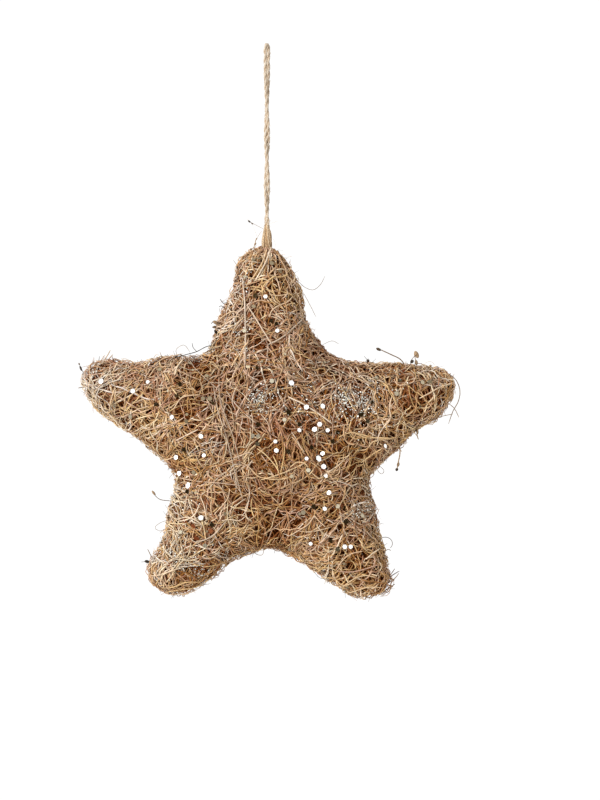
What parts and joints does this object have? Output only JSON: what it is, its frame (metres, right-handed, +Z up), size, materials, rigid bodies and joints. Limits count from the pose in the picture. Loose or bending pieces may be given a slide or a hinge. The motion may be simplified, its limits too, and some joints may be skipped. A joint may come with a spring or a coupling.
{
  "type": "hanging straw star ornament",
  "caption": "Puffy star of tangled straw fibres with scattered silver sequins, hung from a twisted loop of jute twine.",
  "frame": {"origin": "the inside top of the hanging loop's eye, where the ornament hangs", "axes": "+Z up, the star's sequinned front faces -Y, +X to the right as seen from the front"},
  "size_m": [0.1853, 0.0524, 0.2774],
  "materials": {
    "straw": "dry golden-tan plant fibre, tangled and matt, darker brown in the gaps, with a dusting of silver glitter",
    "jute": "raw two-ply jute twine, pale tan, matt and slightly hairy",
    "sequin_silver": "silvered plastic film, mirror-bright and flat"
  },
  "bodies": {
    "root": {"star_body": "straw", "hanging_loop": "jute", "cord_knot": "jute", "sequin_01": "sequin_silver", "sequin_02": "sequin_silver", "sequin_03": "sequin_silver", "sequin_04": "sequin_silver", "sequin_05": "sequin_silver", "sequin_06": "sequin_silver", "sequin_07": "sequin_silver", "sequin_08": "sequin_silver", "sequin_09": "sequin_silver", "sequin_10": "sequin_silver", "sequin_11": "sequin_silver", "sequin_12": "sequin_silver", "sequin_13": "sequin_silver", "sequin_14": "sequin_silver", "sequin_15": "sequin_silver", "sequin_16": "sequin_silver", "sequin_17": "sequin_silver", "sequin_18": "sequin_silver", "sequin_19": "sequin_silver", "sequin_20": "sequin_silver", "sequin_21": "sequin_silver", "sequin_22": "sequin_silver", "sequin_23": "sequin_silver", "sequin_24": "sequin_silver", "sequin_25": "sequin_silver", "sequin_26": "sequin_silver", "sequin_27": "sequin_silver", "sequin_28": "sequin_silver", "sequin_29": "sequin_silver", "sequin_30": "sequin_silver", "sequin_31": "sequin_silver", "sequin_32": "sequin_silver", "sequin_33": "sequin_silver", "sequin_34": "sequin_silver", "sequin_35": "sequin_silver", "sequin_36": "sequin_silver", "sequin_37": "sequin_silver", "sequin_38": "sequin_silver", "sequin_39": "sequin_silver", "sequin_40": "sequin_silver", "sequin_41": "sequin_silver", "sequin_42": "sequin_silver", "sequin_43": "sequin_silver", "sequin_44": "sequin_silver", "sequin_45": "sequin_silver", "sequin_46": "sequin_silver", "sequin_47": "sequin_silver", "sequin_48": "sequin_silver", "sequin_49": "sequin_silver", "sequin_50": "sequin_silver", "sequin_51": "sequin_silver", "sequin_52": "sequin_silver", "sequin_53": "sequin_silver", "sequin_54": "sequin_silver", "sequin_55": "sequin_silver", "sequin_56": "sequin_silver"}
  },
  "joints": []
}
